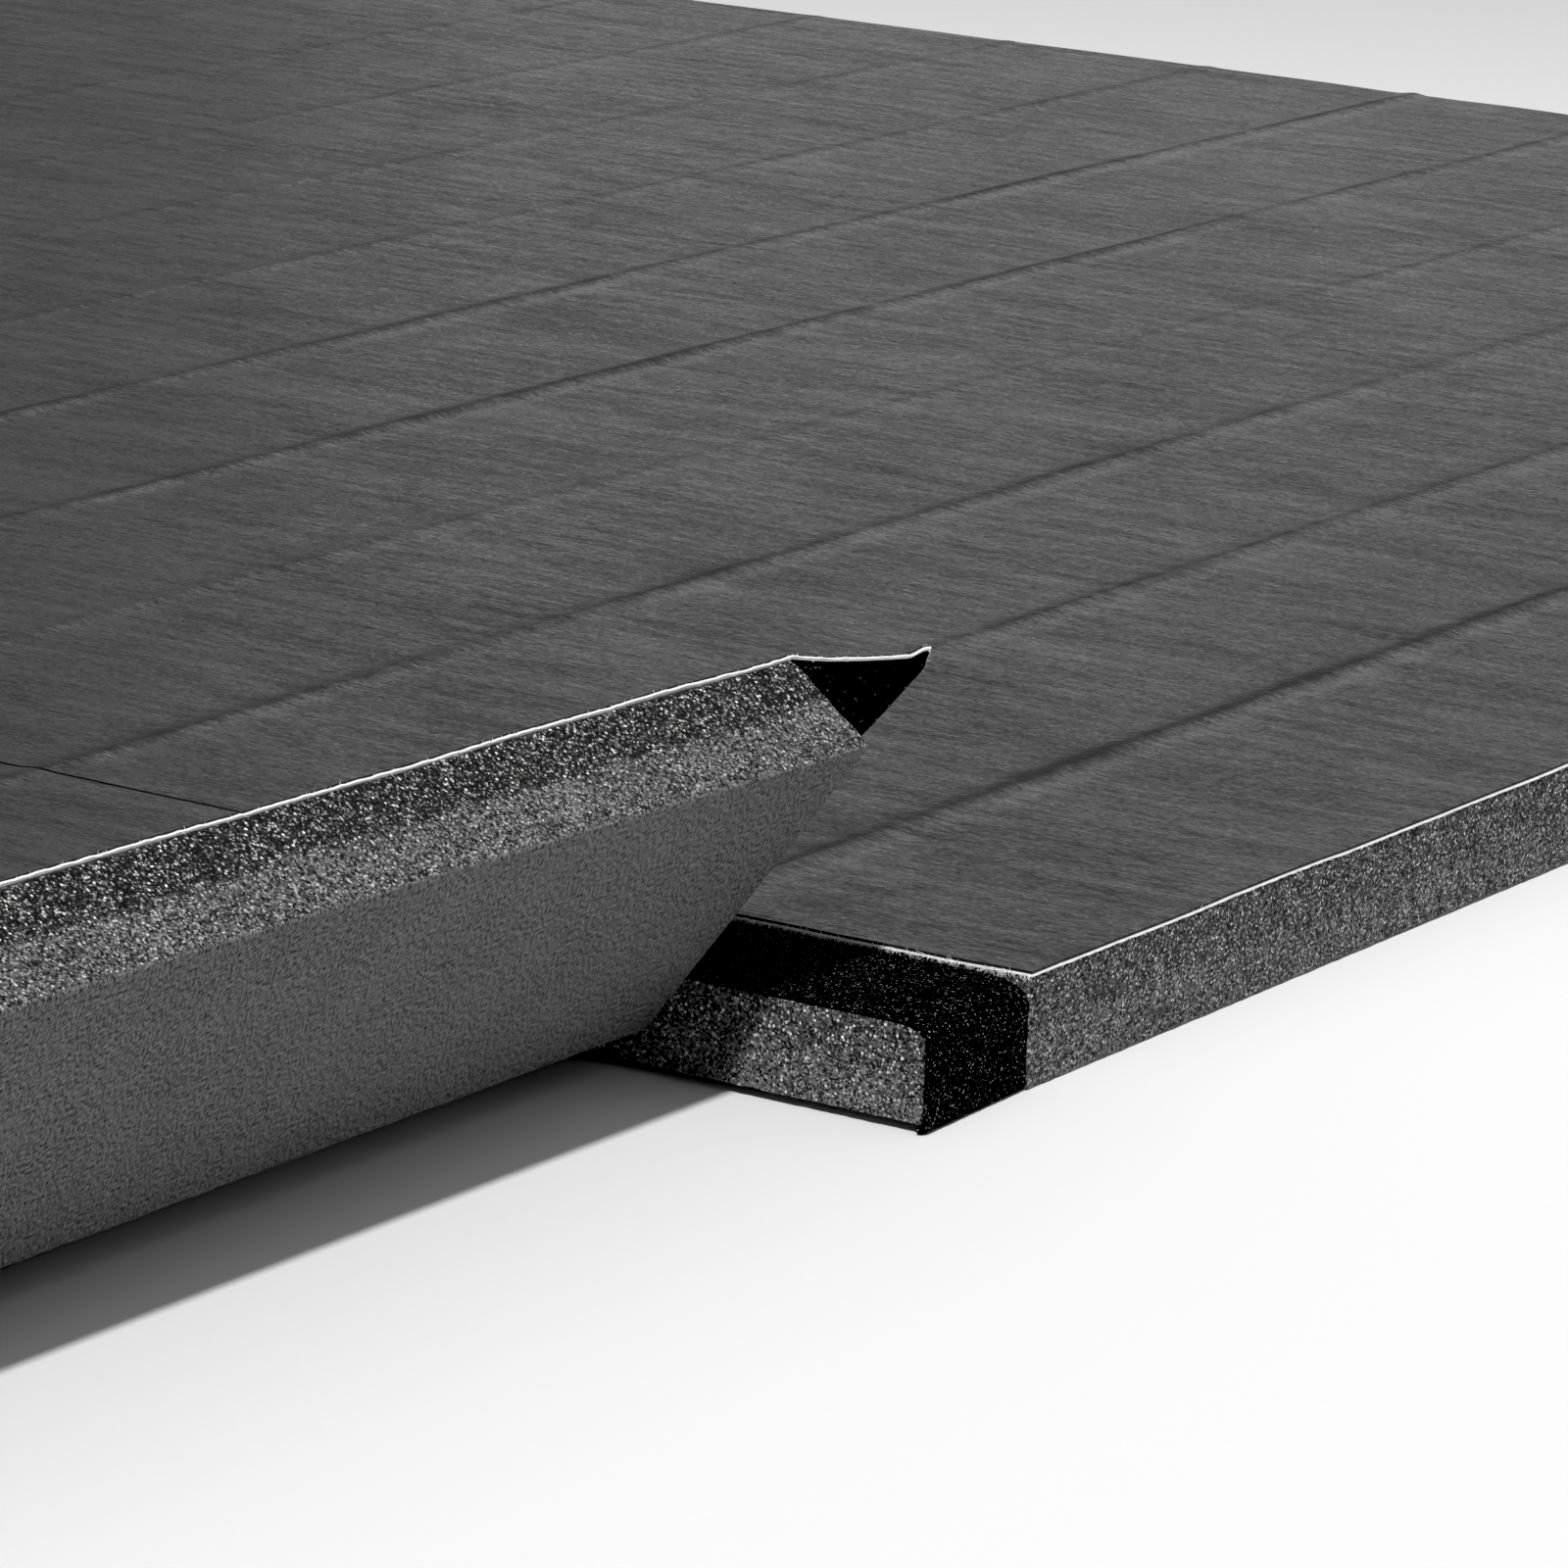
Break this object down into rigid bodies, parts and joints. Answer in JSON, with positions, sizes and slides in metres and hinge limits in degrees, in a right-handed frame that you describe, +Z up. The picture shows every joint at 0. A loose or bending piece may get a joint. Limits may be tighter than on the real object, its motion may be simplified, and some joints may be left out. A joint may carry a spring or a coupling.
{
  "type": "folding gym mat",
  "caption": "Roll-out gym mat: two foam sections slit into strips under a vinyl skin that hinges them, joined by a hook-and-loop lap seam, near strip of one section folded up.",
  "frame": {"origin": "on the floor under the middle of the seam between the two sections", "axes": "+X across the sections from the left one to the right one, +Y along the seam away from the raised strip, +Z up"},
  "size_m": [3.048, 1.524, 0.1286],
  "materials": {
    "foam": "matte",
    "lower_foam": "matte",
    "upper_foam": "matte",
    "vinyl": "satin",
    "scrim": "matte",
    "hook_tape": "matte",
    "loop_pile": "matte"
  },
  "bodies": {
    "right_13": {"right_foam_13": "foam", "right_cover_13": "vinyl"},
    "right_12": {"right_foam_12": "foam", "right_cover_12": "vinyl"},
    "right_11": {"right_foam_11": "foam", "right_cover_11": "vinyl"},
    "right_10": {"right_foam_10": "foam", "right_cover_10": "vinyl"},
    "right_09": {"right_foam_09": "foam", "right_cover_09": "vinyl"},
    "right_08": {"right_foam_08": "foam", "right_cover_08": "vinyl"},
    "right_07": {"right_foam_07": "foam", "right_cover_07": "vinyl"},
    "right_06": {"right_foam_06": "foam", "right_cover_06": "vinyl"},
    "right_05": {"right_foam_05": "foam", "right_cover_05": "vinyl"},
    "right_04": {"right_foam_04": "foam", "right_cover_04": "vinyl"},
    "right_03": {"right_foam_03": "foam", "right_cover_03": "vinyl"},
    "right_02": {"right_foam_02": "foam", "right_cover_02": "vinyl"},
    "right_01": {"right_lower_foam_01": "lower_foam", "right_upper_foam_01": "upper_foam", "right_scrim_01": "scrim", "right_vinyl_01": "vinyl", "right_loop_wrap_01": "loop_pile"},
    "left_13": {"left_foam_13": "foam", "left_cover_13": "vinyl"},
    "left_12": {"left_foam_12": "foam", "left_cover_12": "vinyl"},
    "left_11": {"left_foam_11": "foam", "left_cover_11": "vinyl"},
    "left_10": {"left_foam_10": "foam", "left_cover_10": "vinyl"},
    "left_09": {"left_foam_09": "foam", "left_cover_09": "vinyl"},
    "left_08": {"left_foam_08": "foam", "left_cover_08": "vinyl"},
    "left_07": {"left_foam_07": "foam", "left_cover_07": "vinyl"},
    "left_06": {"left_foam_06": "foam", "left_cover_06": "vinyl"},
    "left_05": {"left_foam_05": "foam", "left_cover_05": "vinyl"},
    "left_04": {"left_foam_04": "foam", "left_cover_04": "vinyl"},
    "left_03": {"left_foam_03": "foam", "left_cover_03": "vinyl"},
    "left_02": {"left_foam_02": "foam", "left_cover_02": "vinyl"},
    "left_01": {"left_lower_foam_01": "lower_foam", "left_upper_foam_01": "upper_foam", "left_scrim_01": "scrim", "left_vinyl_01": "vinyl", "left_hook_tape_01": "hook_tape"}
  },
  "joints": [
    {"name": "right_crease_12", "type": "hinge", "parent": "right_13", "child": "right_12", "pos_m": [0, 0.64477, 0.035], "axis": [-1, 0, 0], "range_deg": [0, 36]},
    {"name": "right_crease_11", "type": "hinge", "parent": "right_12", "child": "right_11", "pos_m": [0, 0.52754, 0.035], "axis": [-1, 0, 0], "range_deg": [0, 37]},
    {"name": "right_crease_10", "type": "hinge", "parent": "right_11", "child": "right_10", "pos_m": [0, 0.41031, 0.035], "axis": [-1, 0, 0], "range_deg": [0, 39]},
    {"name": "right_crease_09", "type": "hinge", "parent": "right_10", "child": "right_09", "pos_m": [0, 0.29308, 0.035], "axis": [-1, 0, 0], "range_deg": [0, 40]},
    {"name": "right_crease_08", "type": "hinge", "parent": "right_09", "child": "right_08", "pos_m": [0, 0.17585, 0.035], "axis": [-1, 0, 0], "range_deg": [0, 42]},
    {"name": "right_crease_07", "type": "hinge", "parent": "right_08", "child": "right_07", "pos_m": [0, 0.05862, 0.035], "axis": [-1, 0, 0], "range_deg": [0, 44]},
    {"name": "right_crease_06", "type": "hinge", "parent": "right_07", "child": "right_06", "pos_m": [0, -0.05862, 0.035], "axis": [-1, 0, 0], "range_deg": [0, 46]},
    {"name": "right_crease_05", "type": "hinge", "parent": "right_06", "child": "right_05", "pos_m": [0, -0.17585, 0.035], "axis": [-1, 0, 0], "range_deg": [0, 48]},
    {"name": "right_crease_04", "type": "hinge", "parent": "right_05", "child": "right_04", "pos_m": [0, -0.29308, 0.035], "axis": [-1, 0, 0], "range_deg": [0, 50]},
    {"name": "right_crease_03", "type": "hinge", "parent": "right_04", "child": "right_03", "pos_m": [0, -0.41031, 0.035], "axis": [-1, 0, 0], "range_deg": [0, 54]},
    {"name": "right_crease_02", "type": "hinge", "parent": "right_03", "child": "right_02", "pos_m": [0, -0.52754, 0.035], "axis": [-1, 0, 0], "range_deg": [0, 62]},
    {"name": "right_crease_01", "type": "hinge", "parent": "right_02", "child": "right_01", "pos_m": [0, -0.64477, 0.035], "axis": [-1, 0, 0], "range_deg": [0, 50]},
    {"name": "seam_slide", "type": "slide", "parent": "right_13", "child": "left_13", "axis": [-1, 0, 0], "range_m": [0, 0.08]},
    {"name": "left_crease_12", "type": "hinge", "parent": "left_13", "child": "left_12", "pos_m": [0, 0.64477, 0.035], "axis": [-1, 0, 0], "range_deg": [0, 36]},
    {"name": "left_crease_11", "type": "hinge", "parent": "left_12", "child": "left_11", "pos_m": [0, 0.52754, 0.035], "axis": [-1, 0, 0], "range_deg": [0, 37]},
    {"name": "left_crease_10", "type": "hinge", "parent": "left_11", "child": "left_10", "pos_m": [0, 0.41031, 0.035], "axis": [-1, 0, 0], "range_deg": [0, 39]},
    {"name": "left_crease_09", "type": "hinge", "parent": "left_10", "child": "left_09", "pos_m": [0, 0.29308, 0.035], "axis": [-1, 0, 0], "range_deg": [0, 40]},
    {"name": "left_crease_08", "type": "hinge", "parent": "left_09", "child": "left_08", "pos_m": [0, 0.17585, 0.035], "axis": [-1, 0, 0], "range_deg": [0, 42]},
    {"name": "left_crease_07", "type": "hinge", "parent": "left_08", "child": "left_07", "pos_m": [0, 0.05862, 0.035], "axis": [-1, 0, 0], "range_deg": [0, 44]},
    {"name": "left_crease_06", "type": "hinge", "parent": "left_07", "child": "left_06", "pos_m": [0, -0.05862, 0.035], "axis": [-1, 0, 0], "range_deg": [0, 46]},
    {"name": "left_crease_05", "type": "hinge", "parent": "left_06", "child": "left_05", "pos_m": [0, -0.17585, 0.035], "axis": [-1, 0, 0], "range_deg": [0, 48]},
    {"name": "left_crease_04", "type": "hinge", "parent": "left_05", "child": "left_04", "pos_m": [0, -0.29308, 0.035], "axis": [-1, 0, 0], "range_deg": [0, 50]},
    {"name": "left_crease_03", "type": "hinge", "parent": "left_04", "child": "left_03", "pos_m": [0, -0.41031, 0.035], "axis": [-1, 0, 0], "range_deg": [0, 54]},
    {"name": "left_crease_02", "type": "hinge", "parent": "left_03", "child": "left_02", "pos_m": [0, -0.52754, 0.035], "axis": [-1, 0, 0], "range_deg": [0, 62]},
    {"name": "left_crease_01", "type": "hinge", "parent": "left_02", "child": "left_01", "pos_m": [0, -0.64477, 0.035], "axis": [-1, 0, 0], "range_deg": [-53, 37]}
  ],
  "couplings": [
    {"joint": "left_crease_12", "follows": "right_crease_12", "ratio": 1},
    {"joint": "left_crease_11", "follows": "right_crease_11", "ratio": 1},
    {"joint": "left_crease_10", "follows": "right_crease_10", "ratio": 1},
    {"joint": "left_crease_09", "follows": "right_crease_09", "ratio": 1},
    {"joint": "left_crease_08", "follows": "right_crease_08", "ratio": 1},
    {"joint": "left_crease_07", "follows": "right_crease_07", "ratio": 1},
    {"joint": "left_crease_06", "follows": "right_crease_06", "ratio": 1},
    {"joint": "left_crease_05", "follows": "right_crease_05", "ratio": 1},
    {"joint": "left_crease_04", "follows": "right_crease_04", "ratio": 1},
    {"joint": "left_crease_03", "follows": "right_crease_03", "ratio": 1},
    {"joint": "left_crease_02", "follows": "right_crease_02", "ratio": 1}
  ]
}
